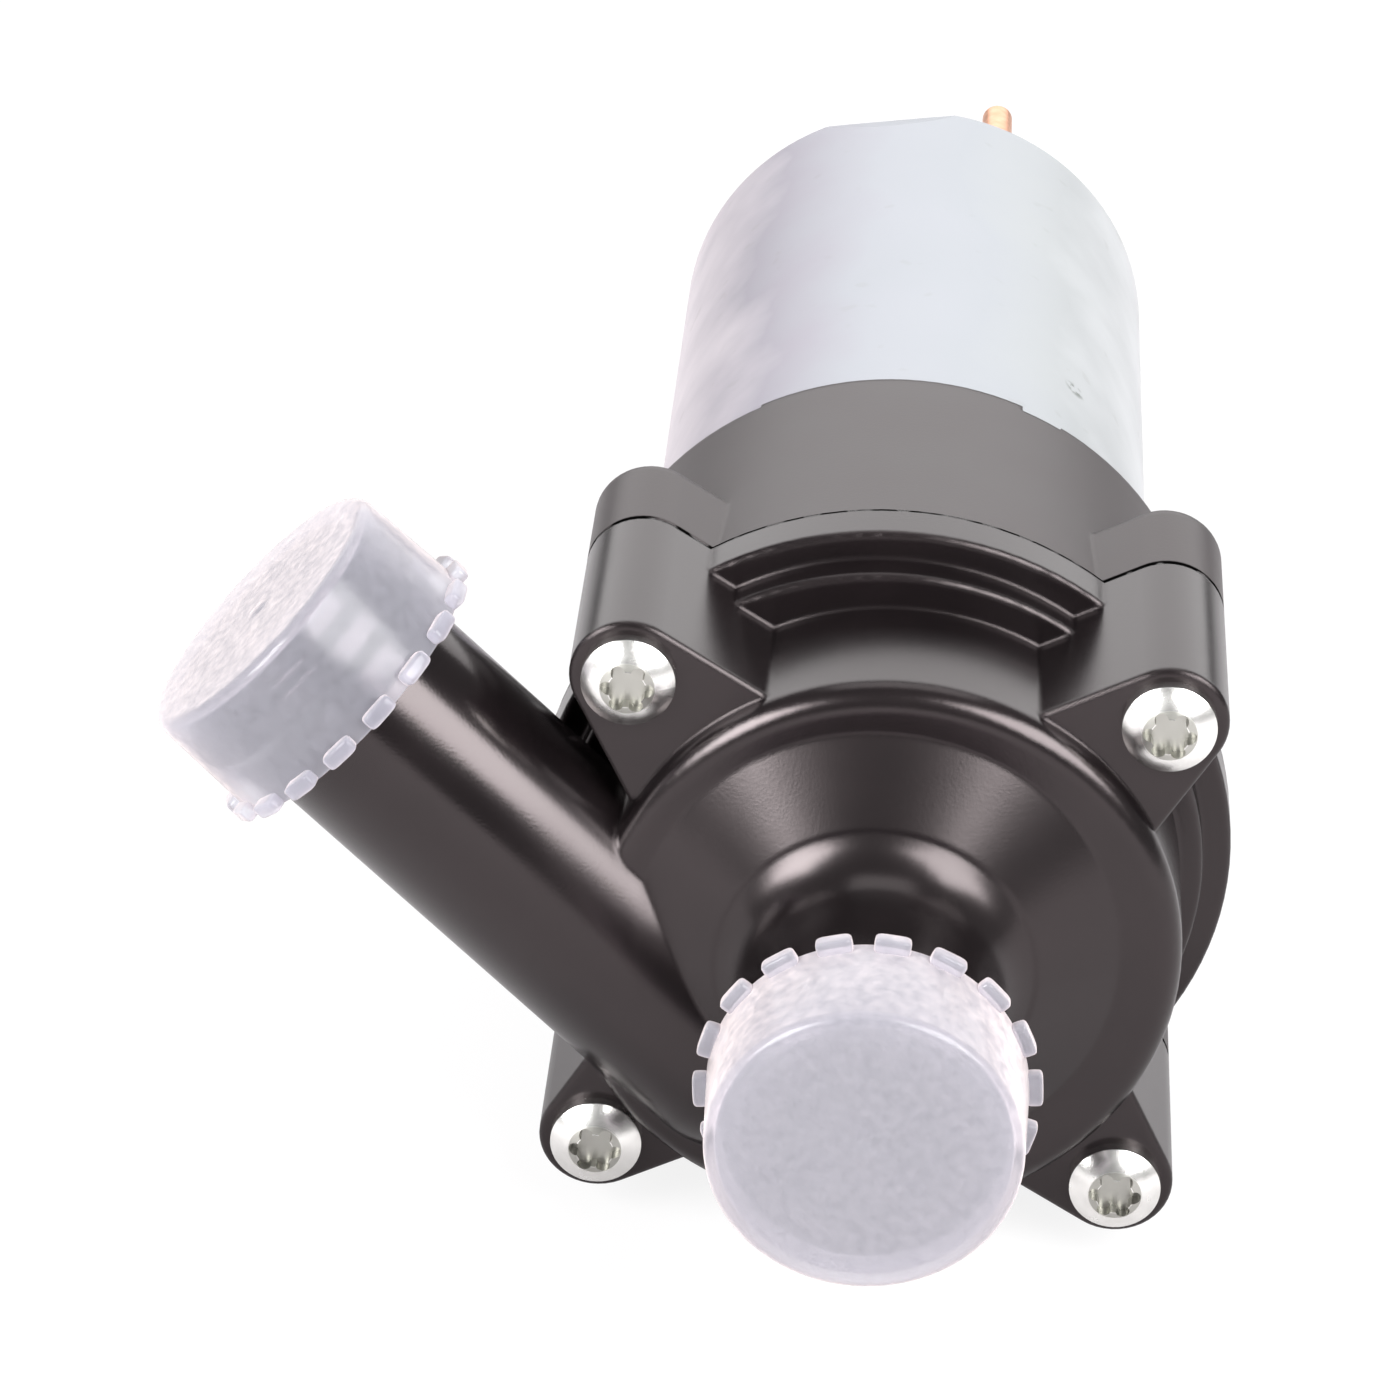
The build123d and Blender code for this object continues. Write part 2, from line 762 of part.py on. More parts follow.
def lamination():
    """One stamped lamination: a hub, straight teeth and wide tips with open slots between them."""
    shape = Circle(core_hub_radius)
    tip_inner = armature_radius - tooth_tip_thickness
    tips = Circle(armature_radius) - Circle(tip_inner)
    pitch = 360.0 / tooth_count
    tooth = Rectangle(tip_inner - core_hub_radius + 2 * overlap, tooth_width)
    tooth = Pos((core_hub_radius + tip_inner) / 2, 0) * tooth
    slot = Pos(armature_radius, 0) * Rectangle(3 * tooth_tip_thickness, slot_opening)
    for i in range(tooth_count):
        shape = shape + Rot(0, 0, i * pitch) * tooth
        tips = tips - Rot(0, 0, (i + 0.5) * pitch) * slot
    return shape + tips - Circle(shaft_radius)


def armature_core():
    """The stack of laminations."""
    return along_y(lamination(), armature_front_y, armature_front_y + armature_length)


def armature_windings():
    """The copper coils: one bundle in each slot, joined by an end ring at each end of the stack."""
    inner = core_hub_radius + winding_gap
    outer = armature_radius - tooth_tip_thickness - winding_gap
    end_y = armature_front_y + armature_length
    front = turned(
        (inner, armature_front_y - winding_overhang),
        (outer - winding_corner, armature_front_y - winding_overhang),
        (outer, armature_front_y - winding_overhang + winding_corner),
        (outer, armature_front_y),
        (inner, armature_front_y),
    )
    back = turned(
        (inner, end_y),
        (outer, end_y),
        (outer, end_y + winding_overhang - winding_corner),
        (outer - winding_corner, end_y + winding_overhang),
        (inner, end_y + winding_overhang),
    )
    bundle = Circle(outer) - Circle(inner)
    tooth = Pos((inner + outer) / 2, 0) * Rectangle(2 * (outer - inner), tooth_width + winding_gap)
    for i in range(tooth_count):
        bundle = bundle - Rot(0, 0, 360.0 * i / tooth_count) * tooth
    return front + back + along_y(bundle, armature_front_y, end_y)


def commutator():
    """Copper segments with risers on a common core, cut apart by narrow gaps."""
    end_y = commutator_front_y + commutator_length
    riser_y = commutator_front_y - riser_length
    riser_radius = commutator_radius + riser_height
    body = ring(shaft_radius, commutator_radius, commutator_front_y, end_y)
    body = body + ring(shaft_radius, riser_radius, riser_y, commutator_front_y)
    gap = Pos(riser_radius, 0) * Rectangle(2 * (segment_depth + riser_height), segment_gap)
    for i in range(tooth_count):
        body = body - along_y(Rot(0, 0, 360.0 * (i + 0.5) / tooth_count) * gap, riser_y, end_y)
    return body


def motor_shaft():
    """The hardened shaft that carries armature, commutator and drive hub."""
    return ring(0, shaft_radius, shaft_front_y, shaft_rear_y)


def shaft_washers():
    """Thrust washers between the bearings and what turns beside them."""
    front_start = front_bearing_y + bearing_length + shaft_end_play
    rear_end = rear_bearing_y - shaft_end_play
    front = ring(shaft_radius, shaft_washer_radius, front_start, front_start + shaft_washer_thickness)
    rear = ring(shaft_radius, shaft_washer_radius, rear_end - shaft_washer_thickness, rear_end)
    return solids_of([front, rear])


def brush_holder():
    """The insulating plate with the two boxes that guide the brushes, above and below the shaft."""
    outer = can_inner_radius
    plate_end = brush_plate_y + brush_plate_thickness
    body = ring(commutator_radius + brush_plate_gap, outer, brush_plate_y, plate_end)
    box_start = commutator_radius + brush_box_setback
    box_end = outer - brush_box_end_gap / 2
    box_width = brush_width + 2 * brush_box_wall
    tunnel_width = brush_width + 2 * brush_box_clearance
    tunnel_end_y = brush_y + brush_height + 2 * brush_box_clearance
    for side in (-1, 1):
        box = Pos(0, side * (box_start + box_end) / 2) * Rectangle(box_width, box_end - box_start)
        body = body + along_y(box, brush_y - brush_box_wall, brush_plate_y)
    for side in (-1, 1):
        tunnel = Pos(0, side * (box_start + spring_outer_radius) / 2)
        tunnel = tunnel * Rectangle(tunnel_width, spring_outer_radius - box_start)
        body = body - along_y(tunnel, brush_y, tunnel_end_y)
        notch = Pos(side * (outer - brush_plate_notch_inset), 0) * Rectangle(*brush_plate_notch)
        body = body - along_y(notch, brush_plate_y, plate_end)
    for x, z in terminal_places():
        body = body - along_y(Pos(x, z) * Circle(terminal_radius), brush_plate_y, plate_end)
    return body


def brush(side):
    """A carbon brush whose inner end is hollowed to the commutator's radius."""
    middle = brush_inner_radius + brush_length / 2 - brush_hollow
    outline = Pos(0, side * middle) * Rectangle(brush_width, brush_length + 2 * brush_hollow)
    outline = outline - Circle(brush_inner_radius)
    start = brush_y + brush_box_clearance
    return along_y(outline, start, start + brush_height)


def brush_spring(side):
    """The round wire coil that pushes a brush inwards."""
    start = brush_inner_radius + brush_length
    height = spring_outer_radius - start - 2 * spring_wire_radius
    coil_radius = brush_width / 2 - spring_wire_radius - 2 * brush_box_clearance
    path = Helix(pitch=height / spring_coils, height=height, radius=coil_radius)
    section = Plane(origin=path @ 0, z_dir=path % 0) * Circle(spring_wire_radius)
    origin = (0, brush_y + brush_height / 2, side * (start + spring_wire_radius))
    return Plane(origin=origin, x_dir=(1, 0, 0), z_dir=(0, 0, side)) * sweep(section, path=path)


def terminals():
    """Two copper pins that leave the brush plate and stand out of the can's rear end."""
    tip_y = can_end_y + terminal_length
    pin = Circle(terminal_radius)
    shapes = []
    for x, z in terminal_places():
        bar = along_y(Pos(x, z) * pin, brush_plate_y, tip_y)
        shapes.append(fillet(bar.edges().group_by(Axis.Y)[-1], terminal_tip_fillet))
    return solids_of(shapes)


def terminal_grommets():
    """Insulating bushes where the pins pass the can's rear end."""
    shapes = []
    inner_y = can_end_y - can_wall
    lip_y = can_end_y + grommet_flange_thickness
    for x, z in terminal_places():
        place = Pos(x, z)
        neck = along_y(place * Circle(grommet_radius), inner_y, can_end_y)
        lip = along_y(place * Circle(grommet_flange_radius), can_end_y, lip_y)
        hole = along_y(place * Circle(terminal_radius), inner_y, lip_y)
        shapes.append(neck + lip - hole)
    return solids_of(shapes)


def impeller_axle():
    """The fixed stainless axle, held in the shell's socket, with a clip groove near its front end."""
    groove = axle_radius - axle_clip_groove
    return turned(
        (0, axle_front_y),
        (axle_radius - axle_chamfer, axle_front_y),
        (axle_radius, axle_front_y + axle_chamfer),
        (axle_radius, clip_start_y),
        (groove, clip_start_y),
        (groove, clip_end_y),
        (axle_radius, clip_end_y),
        (axle_radius, cup_floor_y),
        (0, cup_floor_y),
    )


def axle_clip():
    """The clip in the axle's groove: an open ring."""
    outer = axle_radius + axle_clip_width
    body = ring(axle_radius - axle_clip_groove, outer, clip_start_y, clip_end_y)
    gap = Pos(0, -outer) * Rectangle(axle_clip_mouth, 2 * outer)
    return body - along_y(gap, clip_start_y, clip_end_y)


def thrust_washers():
    """The washers at the two ends of the impeller's bush."""
    front = ring(axle_radius, bush_radius, clip_end_y, clip_end_y + axle_washer_thickness)
    rear = ring(axle_radius, axle_washer_radius, rear_washer_y, rear_washer_y + axle_washer_thickness)
    return solids_of([front, rear])


def inlet_cap_plane():
    """The plane of the inlet cap's face, looking into the cap."""
    face_y = inlet_end_y - cap_seat_gap - cap_face_thickness
    return Plane(origin=(0, face_y, 0), x_dir=(1, 0, 0), z_dir=(0, 1, 0))


def outlet_cap_plane():
    """The plane of the outlet cap's face, looking into the cap."""
    face = outlet_end_length + cap_seat_gap + cap_face_thickness
    origin = outlet_foot + outlet_direction * face
    return Plane(origin=origin, x_dir=(0, 1, 0), z_dir=outlet_direction * -1)


os.makedirs("parts", exist_ok=True)
save("volute_casing", volute_casing())
save("casing_screws", casing_screws())
save("inlet_cap", port_cap(inlet_cap_plane()))
save("outlet_cap", port_cap(outlet_cap_plane()))
save("containment_shell", containment_shell())
save("casing_seal", casing_seal())
save("impeller", impeller())
save("impeller_magnet", impeller_magnet())
save("impeller_bush", impeller_bush())
save("impeller_axle", impeller_axle())
save("axle_clip", axle_clip())
save("thrust_washers", thrust_washers())
save("drive_hub", drive_hub())
save("drive_magnet", drive_magnet())
save("motor_adapter", motor_adapter())
save("motor_front_plate", motor_front_plate())
save("mount_screws", mount_screws())
save("front_bearing", plain_bearing(front_bearing_y))
save("rear_bearing", plain_bearing(rear_bearing_y))
save("motor_can", motor_can())
save("field_magnets", field_magnets())
save("magnet_clips", magnet_clips())
save("motor_shaft", motor_shaft())
save("armature_core", armature_core())
save("armature_windings", armature_windings())
save("commutator", commutator())
save("shaft_washers", shaft_washers())
save("brush_holder", brush_holder())
save("upper_brush", brush(1))
save("lower_brush", brush(-1))
save("upper_brush_spring", brush_spring(1))
save("lower_brush_spring", brush_spring(-1))
save("terminals", terminals())
save("terminal_grommets", terminal_grommets())
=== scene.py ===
"""The looks of an auxiliary electric water pump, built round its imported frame. Lengths are in metres."""
import json
import math

import bpy
import numpy as np
from mathutils import Matrix, Vector


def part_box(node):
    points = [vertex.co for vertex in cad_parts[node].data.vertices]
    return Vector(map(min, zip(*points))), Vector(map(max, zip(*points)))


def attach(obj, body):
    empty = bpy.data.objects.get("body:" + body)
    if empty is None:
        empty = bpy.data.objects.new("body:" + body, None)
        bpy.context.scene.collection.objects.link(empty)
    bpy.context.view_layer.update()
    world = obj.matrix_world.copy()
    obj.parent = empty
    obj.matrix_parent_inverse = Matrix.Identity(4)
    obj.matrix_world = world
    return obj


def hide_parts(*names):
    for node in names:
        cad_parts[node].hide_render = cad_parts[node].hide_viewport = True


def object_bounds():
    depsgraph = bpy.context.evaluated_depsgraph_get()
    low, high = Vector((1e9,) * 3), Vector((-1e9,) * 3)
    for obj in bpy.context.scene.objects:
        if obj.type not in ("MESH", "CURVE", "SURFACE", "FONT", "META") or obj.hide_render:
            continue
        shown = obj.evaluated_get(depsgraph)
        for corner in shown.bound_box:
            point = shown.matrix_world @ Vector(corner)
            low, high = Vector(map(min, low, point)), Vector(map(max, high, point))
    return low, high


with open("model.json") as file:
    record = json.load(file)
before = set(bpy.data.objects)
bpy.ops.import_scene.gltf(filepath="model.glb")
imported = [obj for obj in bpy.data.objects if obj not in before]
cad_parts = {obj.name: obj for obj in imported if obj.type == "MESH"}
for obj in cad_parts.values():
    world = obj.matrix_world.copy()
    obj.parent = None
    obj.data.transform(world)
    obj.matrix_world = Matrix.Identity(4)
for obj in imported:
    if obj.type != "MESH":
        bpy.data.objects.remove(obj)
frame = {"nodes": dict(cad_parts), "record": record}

MM = 0.001
cad_low, cad_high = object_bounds()
nodes = frame["nodes"]

# Where the photograph was taken from, and how its frame sits on the lens's axis
CAMERA_PLACE = (-0.007454, -0.420384, 0.241945)
CAMERA_TURN = math.radians(-1.1529)
CAMERA_DIP = math.radians(27.5956)
CAMERA_ROLL = math.radians(4.4187)
CAMERA_LENS = 147.03
CAMERA_SHIFT = (-0.00528, -0.00893)
CAMERA_NEAR = 0.01
SENSOR_WIDTH = 36.0

# The lamps: a name, the place they stand at, the width and height in metres, and the power in watts
PUMP_CENTRE = (0.0, 0.03, 0.0)
LAMPS = (
    ("left_softbox", (-0.65, -0.56, 0.47), 0.54, 0.46, 15.0),
    ("right_softbox", (0.57, -0.50, 0.60), 0.75, 0.58, 17.0),
    ("back_panel", (0.0, 1.15, 0.54), 2.3, 0.8, 12.0),
    ("top_panel", (0.0, 0.45, 1.1), 0.9, 0.7, 3.0),
)

# The studio: the sky's strength as light on the pump and to the eye, the floor's size and its gap under the
# pump, its paint, its glow, and how much of the glow the eye sees
WHITE = (1.0, 1.0, 1.0, 1.0)
WORLD_STRENGTH = 0.24
WORLD_STRENGTH_SEEN = 1.0
FLOOR_SIZE = 6.0
FLOOR_GAP = 0.0002
FLOOR_PAINT = "c4c2c3"
FLOOR_GLOW = 1.09
FLOOR_GLOW_SHARE = 0.8

# Places on the pump, in millimetres: the joint between casing and adapter, the inlet cone's edge and back,
# where the outlet pipe's outer part begins, the screws' axes and recesses, the can's radius and stake mark
JOINT_Y = 20.2
JOINT_WIDTH = 0.4
CONE_RADIUS = 21.0
CONE_BACK_Y = 8.0
CONE_FADE = 1.0
PIPE_START = (-34.0, -26.0)
SCREW_AXIS = 22.5
RECESS_RADIUS = 2.35
RECESS_FADE = 0.1
HEAD_TOP_Y = -2.35
CAN_RADIUS = 23.6
STAKE_PLACE = (15.2, 75.0, 18.1)
STAKE_RADII = (0.5, 1.5)

# Transport caps, in millimetres. Depths run from the cap's outer face towards its mouth
CAP_RADIUS = 12.8
CAP_MOUTH_RADIUS = 13.1
CAP_WALL = 0.9
CAP_FACE_THICKNESS = 1.1
CAP_LENGTH = 10.9
CAP_EDGE_RADIUS = 1.0
CAP_MOUTH_EDGE_RADIUS = 0.25
CAP_TURNS = 144
CORNER_POINTS = 6
GATE_RADIUS = 0.9
GATE_HEIGHT = 0.12
GATE_STEEPNESS = 4
GATE_REACH = 1.44
GATE_POINTS = 9
FACE_START = 2.0
FACE_END = 11.5
FACE_POINTS = 6
LUG_COUNT = 18
LUG_TURN = math.radians(14.0)
LUG_MIDDLE_RADIUS = 13.5
LUG_HALF_SIZE = (0.7, 1.5, 0.7)
LUG_SQUARENESS = 5.0
LUG_STEPS = (28, 14)
OUTLET_FACE_PAST_MOUNT = 16.35

# The detail of a noise, and where in a noise a finish's dark and light colours stand
PLAIN = 1.0
SOME = 2.0
FINE = 3.0
COLOUR_STOPS = (0.3, 0.7)

# Glass-filled nylon. Sizes are in millimetres: its patches, its grain, the roundness of its edges, and the
# breaks in the painted shade along the joint's gap. The grain is drawn coarser than the real one, so that it
# shows. Rougher values are added to the roughness
NYLON_IOR = 1.53
NYLON_REFLECTION = 0.5
NYLON_REFLECTION_TINT = "fff1f2"
NYLON_PATCH = 9.0
NYLON_GRAIN = 0.25
NYLON_GRAIN_DEPTH = 0.012
NYLON_GRAIN_STRENGTH = 0.5
MOULDED_EDGE = 0.7
EDGE_SAMPLES = 6
# Painted shade in the joint's gap: the size and range of its breaks, its colour, and how much rougher it is
JOINT_SHADE_BREAK = 2.2
JOINT_SHADE_BREAK_RANGE = (0.5, 0.6)
JOINT_SHADE_COLOUR = "050505"
JOINT_SHADE_ROUGHER = 0.5
CONE_ROUGHER = 0.04
PIPE_ROUGHER = -0.06

# Zinc plating. Sizes are in millimetres, and the tints run across the can from left to right: the passivate's
# own tints, with painted reflection lighter at both sides and painted shade just left of the middle. The
# grain is drawn coarser than the real one, so that it shows
CAN_TINTS_AND_PAINTED_LIGHT = (
    (0.0, "d6cfd4"),
    (0.2, "a29ea7"),
    (0.4, "abadb3"),
    (0.6, "acafb4"),
    (0.8, "b5b8ba"),
    (1.0, "d4d6d8"),
)
CAN_CLOUD = 12.0
CAN_CLOUD_DRIFT = 0.25
CAN_SPECK = 2.6
CAN_SPECK_RANGE = (0.22, 0.32)
CAN_SPECK_SHARE = 0.12
CAN_SPECK_COLOUR = "8f8d86"
CAN_GRAIN = 0.3
CAN_GRAIN_DEPTH = 0.008
CAN_METAL = 0.7
CAN_ROUGH = (0.5, 0.6)
STAKE_BREAK = 0.8
STAKE_BREAK_RANGE = (0.4, 0.55)
STAKE_SHARE = 0.75
STAKE_COLOUR = "5f665c"
SCREW_COLOURS = ("efeeeb", "fbfaf7")
SCREW_PATCH = 1.2
SCREW_ROUGH = (0.22, 0.3)
SCREW_WAVE = 0.5
SCREW_WAVE_DEPTH = 0.02
PLATING_STRENGTH = 0.4
# The recess's painted shade, and how much rougher the recess is
RECESS_SHADE_COLOUR = "b5b4ae"
RECESS_ROUGHER = 0.12

# Milky polythene. Sizes are in millimetres: a cloud in the milk, a wide one, the patches of its gloss and the
# waves in its surface. Clear is the share of light that a wall lets straight through when it is looked at
# squarely, and the outlet's cap is that much clearer
CAP_CLEAR = 0.7
OUTLET_CAP_CLEARER = 0.13
STEEPEST_SLANT = 0.12
SLANT_POWER = -1.4
MILK_CLOUD = 0.9
MILK_CLOUD_SHARE = 0.8
WIDE_CLOUD = 7.0
WIDE_CLOUD_SHARE = 0.2
MILK_RANGE = (0.6, 1.4)
# The milk's colours by its share: greyer at a low share, as painted shade, and whiter at a high one, as
# painted sheen
MILK_TINTS_AND_PAINTED_LIGHT = ((0.25, "d1d1da"), (0.5, "c8c5cc"), (0.72, "d9d2d6"), (1.0, "f3e8e8"))
LIGHT_THROUGH_MILK = 0.3
CLEAR_TINT = "f6f5f8"
HAZE_ROUGH = 0.4
HAZE_IOR = 1.13
POLYTHENE_IOR = 1.51
WAX_SHARE = 0.6
WAX_PATCH = 1.5
WAX_ROUGH = (0.14, 0.24)
WAX_WAVE = 2.5
WAX_WAVE_DEPTH = 0.01
WAX_WAVE_STRENGTH = 0.4

# Pieces inside the pump: how wide and deep the grain on them is, in millimetres, and how strongly it shows.
# It is drawn coarser than the real one, so that it shows in a render of the opened pump
INNER_GRAIN = 0.3
INNER_GRAIN_DEPTH = 0.01
INNER_GRAIN_STRENGTH = 0.5


def linear(hex_colour):
    """The linear red, green, blue and alpha of an sRGB colour written as six hex digits."""
    parts = [int(hex_colour[i:i + 2], 16) / 255 for i in (0, 2, 4)]
    curved = [c / 12.92 if c <= 0.04045 else ((c + 0.055) / 1.055) ** 2.4 for c in parts]
    return (*curved, 1.0)


def noise_scale(patch_mm):
    """The scale of a noise whose patches are about that many millimetres across."""
    return 1.0 / (patch_mm * MM)


def add(tree, kind, inputs=None, stops=(), **settings):
    """Adds one shader node. Inputs are its sockets by name or number: a socket is linked, a node is linked
    from its first output, and any other value is set. Stops are a colour ramp's places and sRGB colours, and
    settings are the node's own properties."""
    made = tree.nodes.new("ShaderNode" + kind)
    for name, value in settings.items():
        setattr(made, name, value)
    if stops:
        elements = made.color_ramp.elements
        while len(elements) < len(stops):
            elements.new(0.5)
        for element, (place, colour) in zip(elements, stops):
            element.position = place
            element.color = linear(colour)
    for key, value in (inputs or {}).items():
        if isinstance(value, bpy.types.Node):
            value = value.outputs[0]
        if isinstance(value, bpy.types.NodeSocket):
            tree.links.new(value, made.inputs[key])
        else:
            made.inputs[key].default_value = value
    return made


def start_material(name):
    """An empty material and its node tree."""
    material = bpy.data.materials.new(name)
    material.use_nodes = True
    material.node_tree.nodes.clear()
    return material, material.node_tree


# Glass-filled nylon, injection moulded: nearly black with a warm cast, and a satin gloss that shows each lamp
# as a soft streak. The adapter comes from a coarser mould, so it looks matt and greyer
def moulded_nylon(name, dark, light, rough):
    """A fine grain, a gloss that drifts where the glass comes near the surface, edges that catch the light
    softly, as a mould's do, and a thin broken line of painted shade, dark and dull, in the gap along the
    joint between casing and adapter. The inlet cone is a little duller than the rest, and the outer part of
    the outlet pipe a little glossier."""
    material, tree = start_material(name)
    place = add(tree, "TexCoord").outputs["Object"]
    x, y, z = add(tree, "SeparateXYZ", {0: place}).outputs
    patches = add(tree, "TexNoise", {"Vector": place, "Scale": noise_scale(NYLON_PATCH), "Detail": FINE})
    grain = add(tree, "TexNoise", {"Vector": place, "Scale": noise_scale(NYLON_GRAIN), "Detail": FINE})

    # Painted shade: a thin broken dark line, duller and with less reflection, in the gap along the joint
    # between casing and adapter
    from_joint = add(tree, "Math", {0: y, 1: JOINT_Y * MM}, operation="SUBTRACT")
    line = add(tree, "MapRange", {
        "Value": add(tree, "Math", {0: from_joint}, operation="ABSOLUTE"),
        "From Min": JOINT_WIDTH * MM / 2,
        "From Max": JOINT_WIDTH * MM,
        "To Min": 1.0,
        "To Max": 0.0,
    }, interpolation_type="SMOOTHSTEP")
    breaks = add(tree, "MapRange", {
        "Value": add(tree, "TexNoise", {"Vector": place, "Scale": noise_scale(JOINT_SHADE_BREAK), "Detail": PLAIN}),
        "From Min": JOINT_SHADE_BREAK_RANGE[0],
        "From Max": JOINT_SHADE_BREAK_RANGE[1],
        "To Min": 1.0,
        "To Max": 0.0,
    }, interpolation_type="SMOOTHSTEP")
    joint_shade = add(tree, "Math", {0: line, 1: breaks}, operation="MULTIPLY")

    off_axis = add(tree, "CombineXYZ", {"X": x, "Z": z})
    inside_cone = add(tree, "MapRange", {
        "Value": add(tree, "VectorMath", {0: off_axis}, operation="LENGTH").outputs["Value"],
        "From Min": (CONE_RADIUS - CONE_FADE) * MM,
        "From Max": CONE_RADIUS * MM,
        "To Min": 1.0,
        "To Max": 0.0,
    }, interpolation_type="SMOOTHSTEP")
    before_back = add(tree, "MapRange", {
        "Value": y,
        "From Min": (CONE_BACK_Y - CONE_FADE) * MM,
        "From Max": CONE_BACK_Y * MM,
        "To Min": 1.0,
        "To Max": 0.0,
    }, interpolation_type="SMOOTHSTEP")
    cone = add(tree, "Math", {0: inside_cone, 1: before_back}, operation="MULTIPLY")
    pipe = add(tree, "MapRange", {
        "Value": x,
        "From Min": PIPE_START[0] * MM,
        "From Max": PIPE_START[1] * MM,
        "To Min": 1.0,
        "To Max": 0.0,
    }, interpolation_type="SMOOTHSTEP")

    gloss = add(tree, "MapRange", {"Value": patches, "To Min": rough[0], "To Max": rough[1]})
    for where, rougher in ((joint_shade, JOINT_SHADE_ROUGHER), (cone, CONE_ROUGHER), (pipe, PIPE_ROUGHER)):
        gloss = add(tree, "Math", {0: where, 1: rougher, 2: gloss}, operation="MULTIPLY_ADD")
    moulded = add(tree, "ValToRGB", {"Fac": patches}, stops=tuple(zip(COLOUR_STOPS, (dark, light))))
    colour = add(tree, "Mix", {0: joint_shade, 6: moulded, 7: linear(JOINT_SHADE_COLOUR)}, data_type="RGBA").outputs[2]
    reflection = add(
        tree, "Math", {0: joint_shade, 1: -NYLON_REFLECTION, 2: NYLON_REFLECTION}, operation="MULTIPLY_ADD"
    )
    surface = add(tree, "Bump", {
        "Height": grain,
        "Strength": NYLON_GRAIN_STRENGTH,
        "Distance": NYLON_GRAIN_DEPTH * MM,
        "Normal": add(tree, "Bevel", {"Radius": MOULDED_EDGE * MM}, samples=EDGE_SAMPLES),
    })
    nylon = add(tree, "BsdfPrincipled", {
        "Base Color": colour,
        "Roughness": gloss,
        "IOR": NYLON_IOR,
        "Specular Tint": linear(NYLON_REFLECTION_TINT),
        "Specular IOR Level": reflection,
        "Normal": surface,
    })
    add(tree, "OutputMaterial", {"Surface": nylon})
    return material


# Zinc-plated steel with a clear passivate, drawn deep: pale and soft like satin, never a mirror
def zinc_can():
    """The passivate's faint pink, blue and straw tints round the can, painted lighter at both sides as
    painted reflection and darker just left of the middle as painted shade, soft clouds in the plating, a few
    dull specks, and one green-grey stake mark."""
    material, tree = start_material("zinc_plated_steel_passivated")
    place = add(tree, "TexCoord").outputs["Object"]
    x = add(tree, "SeparateXYZ", {0: place}).outputs["X"]
    cloud = add(tree, "TexNoise", {"Vector": place, "Scale": noise_scale(CAN_CLOUD), "Detail": FINE})
    across = add(tree, "Math", {0: x, 1: 0.5 / (CAN_RADIUS * MM), 2: 0.5}, operation="MULTIPLY_ADD")
    off_middle = add(tree, "Math", {0: cloud, 1: 0.5}, operation="SUBTRACT")
    drifted = add(tree, "Math", {0: off_middle, 1: CAN_CLOUD_DRIFT, 2: across}, operation="MULTIPLY_ADD")
    # Painted light: the ramp is lighter at both sides of the can, a painted reflection, and darkest just left
    # of the middle, a painted shade, over the passivate's own tints
    tint_and_painted_light = add(tree, "ValToRGB", {"Fac": drifted}, stops=CAN_TINTS_AND_PAINTED_LIGHT)

    specks = add(tree, "MapRange", {
        "Value": add(tree, "TexNoise", {"Vector": place, "Scale": noise_scale(CAN_SPECK), "Detail": PLAIN}),
        "From Min": CAN_SPECK_RANGE[0],
        "From Max": CAN_SPECK_RANGE[1],
        "To Min": CAN_SPECK_SHARE,
        "To Max": 0.0,
    }, interpolation_type="SMOOTHSTEP")
    tint_and_painted_light = add(tree, "Mix", {0: specks, 6: tint_and_painted_light, 7: linear(CAN_SPECK_COLOUR)}, data_type="RGBA").outputs[2]

    centre = [length * MM for length in STAKE_PLACE]
    near_stake = add(tree, "MapRange", {
        "Value": add(tree, "VectorMath", {0: place, 1: centre}, operation="DISTANCE").outputs["Value"],
        "From Min": STAKE_RADII[0] * MM,
        "From Max": STAKE_RADII[1] * MM,
        "To Min": STAKE_SHARE,
        "To Max": 0.0,
    }, interpolation_type="SMOOTHSTEP")
    breaks = add(tree, "MapRange", {
        "Value": add(tree, "TexNoise", {"Vector": place, "Scale": noise_scale(STAKE_BREAK), "Detail": FINE}),
        "From Min": STAKE_BREAK_RANGE[0],
        "From Max": STAKE_BREAK_RANGE[1],
        "To Min": 1.0,
        "To Max": 0.0,
    }, interpolation_type="SMOOTHSTEP")
    stake = add(tree, "Math", {0: near_stake, 1: breaks}, operation="MULTIPLY")
    tint_and_painted_light = add(tree, "Mix", {0: stake, 6: tint_and_painted_light, 7: linear(STAKE_COLOUR)}, data_type="RGBA").outputs[2]

    zinc = add(tree, "BsdfPrincipled", {
        "Base Color": tint_and_painted_light,
        "Metallic": CAN_METAL,
        "Roughness": add(tree, "MapRange", {"Value": cloud, "To Min": CAN_ROUGH[0], "To Max": CAN_ROUGH[1]}),
        "Normal": add(tree, "Bump", {
            "Height": add(
                tree, "TexNoise", {"Vector": place, "Scale": noise_scale(CAN_GRAIN), "Detail": FINE}
            ),
            "Strength": PLATING_STRENGTH,
            "Distance": CAN_GRAIN_DEPTH * MM,
        }),
    })
    add(tree, "OutputMaterial", {"Surface": zinc})
    return material
